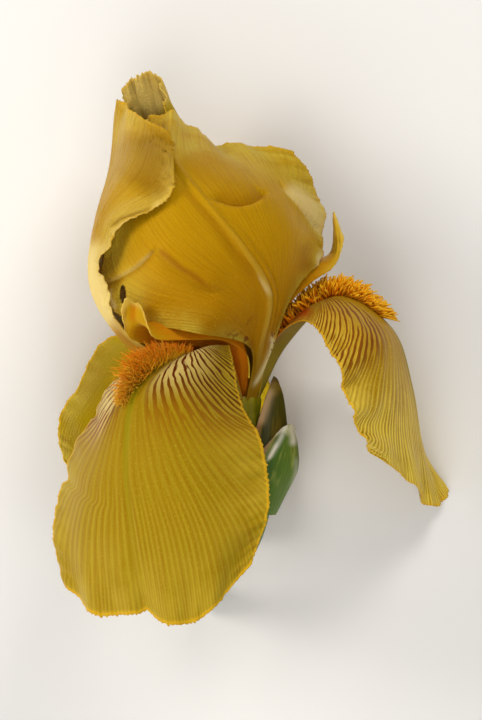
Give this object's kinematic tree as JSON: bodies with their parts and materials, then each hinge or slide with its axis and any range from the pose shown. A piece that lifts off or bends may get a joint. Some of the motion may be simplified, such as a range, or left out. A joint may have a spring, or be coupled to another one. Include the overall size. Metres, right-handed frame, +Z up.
{
  "type": "iris flower",
  "caption": "Yellow bearded iris bloom with ruffled toothed petals, orange beards, brown net veins, curled style crests and green papery-tipped bracts, cut and laid on its back petals",
  "frame": {"origin": "on the surface the flower lies on, under the middle of its box", "axes": "+X the bloom's right, +Y towards the tops of the dome petals, +Z up out of the surface and out of the bloom's front"},
  "size_m": [0.1, 0.1384, 0.0766],
  "materials": {
    "petal_fall": "soft petal, golden yellow with brown net veins on a cream haft",
    "petal_standard": "soft petal, golden yellow",
    "beard": "matt hairs, orange with yellow tips",
    "stamen": "matt, cream",
    "style": "soft petal, amber",
    "tube": "waxy, yellow green",
    "stem": "waxy, green",
    "bract": "waxy, green with a pale edge and a brown papery tip"
  },
  "bodies": {
    "root": {"fall_front": "petal_fall", "fall_right": "petal_fall", "fall_back": "petal_fall", "standard_right": "petal_standard", "standard_left": "petal_standard", "standard_back": "petal_standard", "beard_front": "beard", "beard_right": "beard", "beard_back": "beard", "stamen_front": "stamen", "stamen_right": "stamen", "stamen_back": "stamen", "style": "style", "floral_tube": "tube", "stem": "stem", "spathe_outer": "bract", "spathe_inner": "bract"}
  },
  "joints": []
}
